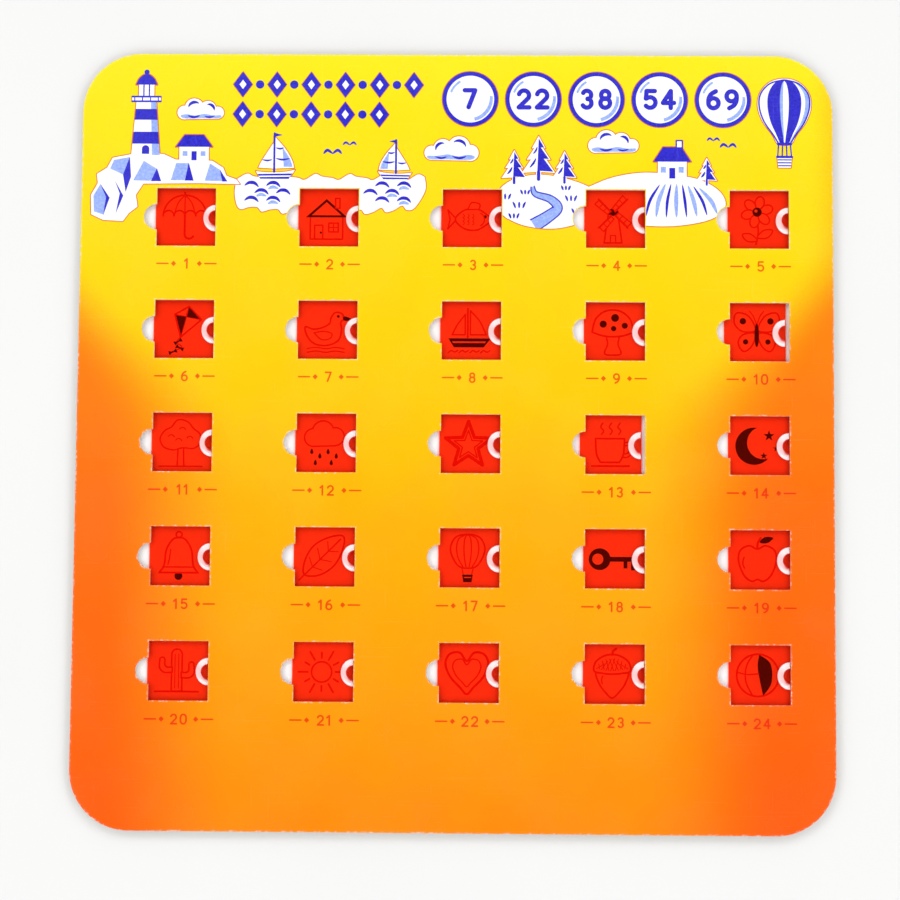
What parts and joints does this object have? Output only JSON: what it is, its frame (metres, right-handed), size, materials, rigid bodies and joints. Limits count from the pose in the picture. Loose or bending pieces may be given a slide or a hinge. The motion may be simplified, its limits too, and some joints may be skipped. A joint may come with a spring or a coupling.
{
  "type": "shutter bingo card",
  "caption": "Square chipboard bingo card with round corners, whose see-through red shutters slide sideways in their windows to uncover or mark the pictures below.",
  "frame": {"origin": "middle of the card's back face", "axes": "+Z out of the printed face, +Y to the card's top edge, +X to the right as the face is read"},
  "size_m": [0.2032, 0.2096, 0.0037],
  "materials": {
    "printed_face": "gloss film over print, yellow to orange",
    "chipboard": "pressed board, grey-brown, paler round the windows",
    "picture_paper": "smooth white paper with red and black line pictures",
    "back_paper": "uncoated off-white paper",
    "shutter": "glossy see-through red, frosted round the finger bump"
  },
  "bodies": {
    "card": {"face_sheet": "printed_face", "front_board": "chipboard", "track_board": "chipboard", "picture_sheet": "picture_paper", "back_board": "chipboard", "back_sheet": "back_paper"},
    "shutter_r1c1": {"shutter_r1c1": "shutter"},
    "shutter_r1c2": {"shutter_r1c2": "shutter"},
    "shutter_r1c3": {"shutter_r1c3": "shutter"},
    "shutter_r1c4": {"shutter_r1c4": "shutter"},
    "shutter_r1c5": {"shutter_r1c5": "shutter"},
    "shutter_r2c1": {"shutter_r2c1": "shutter"},
    "shutter_r2c2": {"shutter_r2c2": "shutter"},
    "shutter_r2c3": {"shutter_r2c3": "shutter"},
    "shutter_r2c4": {"shutter_r2c4": "shutter"},
    "shutter_r2c5": {"shutter_r2c5": "shutter"},
    "shutter_r3c1": {"shutter_r3c1": "shutter"},
    "shutter_r3c2": {"shutter_r3c2": "shutter"},
    "shutter_r3c3": {"shutter_r3c3": "shutter"},
    "shutter_r3c4": {"shutter_r3c4": "shutter"},
    "shutter_r3c5": {"shutter_r3c5": "shutter"},
    "shutter_r4c1": {"shutter_r4c1": "shutter"},
    "shutter_r4c2": {"shutter_r4c2": "shutter"},
    "shutter_r4c3": {"shutter_r4c3": "shutter"},
    "shutter_r4c4": {"shutter_r4c4": "shutter"},
    "shutter_r4c5": {"shutter_r4c5": "shutter"},
    "shutter_r5c1": {"shutter_r5c1": "shutter"},
    "shutter_r5c2": {"shutter_r5c2": "shutter"},
    "shutter_r5c3": {"shutter_r5c3": "shutter"},
    "shutter_r5c4": {"shutter_r5c4": "shutter"},
    "shutter_r5c5": {"shutter_r5c5": "shutter"}
  },
  "joints": [
    {"name": "slide_r1c1", "type": "slide", "parent": "card", "child": "shutter_r1c1", "axis": [-1, 0, 0], "range_m": [0, 0.0158]},
    {"name": "slide_r1c2", "type": "slide", "parent": "card", "child": "shutter_r1c2", "axis": [-1, 0, 0], "range_m": [0, 0.0158]},
    {"name": "slide_r1c3", "type": "slide", "parent": "card", "child": "shutter_r1c3", "axis": [-1, 0, 0], "range_m": [0, 0.0158]},
    {"name": "slide_r1c4", "type": "slide", "parent": "card", "child": "shutter_r1c4", "axis": [-1, 0, 0], "range_m": [0, 0.0158]},
    {"name": "slide_r1c5", "type": "slide", "parent": "card", "child": "shutter_r1c5", "axis": [-1, 0, 0], "range_m": [0, 0.0158]},
    {"name": "slide_r2c1", "type": "slide", "parent": "card", "child": "shutter_r2c1", "axis": [-1, 0, 0], "range_m": [0, 0.0158]},
    {"name": "slide_r2c2", "type": "slide", "parent": "card", "child": "shutter_r2c2", "axis": [-1, 0, 0], "range_m": [0, 0.0158]},
    {"name": "slide_r2c3", "type": "slide", "parent": "card", "child": "shutter_r2c3", "axis": [-1, 0, 0], "range_m": [0, 0.0158]},
    {"name": "slide_r2c4", "type": "slide", "parent": "card", "child": "shutter_r2c4", "axis": [-1, 0, 0], "range_m": [0, 0.0158]},
    {"name": "slide_r2c5", "type": "slide", "parent": "card", "child": "shutter_r2c5", "axis": [-1, 0, 0], "range_m": [-0.001, 0.0148]},
    {"name": "slide_r3c1", "type": "slide", "parent": "card", "child": "shutter_r3c1", "axis": [-1, 0, 0], "range_m": [0, 0.0158]},
    {"name": "slide_r3c2", "type": "slide", "parent": "card", "child": "shutter_r3c2", "axis": [-1, 0, 0], "range_m": [0, 0.0158]},
    {"name": "slide_r3c3", "type": "slide", "parent": "card", "child": "shutter_r3c3", "axis": [-1, 0, 0], "range_m": [0, 0.0158]},
    {"name": "slide_r3c4", "type": "slide", "parent": "card", "child": "shutter_r3c4", "axis": [-1, 0, 0], "range_m": [-0.001, 0.0148]},
    {"name": "slide_r3c5", "type": "slide", "parent": "card", "child": "shutter_r3c5", "axis": [-1, 0, 0], "range_m": [0, 0.0158]},
    {"name": "slide_r4c1", "type": "slide", "parent": "card", "child": "shutter_r4c1", "axis": [-1, 0, 0], "range_m": [0, 0.0158]},
    {"name": "slide_r4c2", "type": "slide", "parent": "card", "child": "shutter_r4c2", "axis": [-1, 0, 0], "range_m": [0, 0.0158]},
    {"name": "slide_r4c3", "type": "slide", "parent": "card", "child": "shutter_r4c3", "axis": [-1, 0, 0], "range_m": [0, 0.0158]},
    {"name": "slide_r4c4", "type": "slide", "parent": "card", "child": "shutter_r4c4", "axis": [-1, 0, 0], "range_m": [0, 0.0158]},
    {"name": "slide_r4c5", "type": "slide", "parent": "card", "child": "shutter_r4c5", "axis": [-1, 0, 0], "range_m": [0, 0.0158]},
    {"name": "slide_r5c1", "type": "slide", "parent": "card", "child": "shutter_r5c1", "axis": [-1, 0, 0], "range_m": [0, 0.0158]},
    {"name": "slide_r5c2", "type": "slide", "parent": "card", "child": "shutter_r5c2", "axis": [-1, 0, 0], "range_m": [0, 0.0158]},
    {"name": "slide_r5c3", "type": "slide", "parent": "card", "child": "shutter_r5c3", "axis": [-1, 0, 0], "range_m": [0, 0.0158]},
    {"name": "slide_r5c4", "type": "slide", "parent": "card", "child": "shutter_r5c4", "axis": [-1, 0, 0], "range_m": [0, 0.0158]},
    {"name": "slide_r5c5", "type": "slide", "parent": "card", "child": "shutter_r5c5", "axis": [-1, 0, 0], "range_m": [0, 0.0158]}
  ]
}
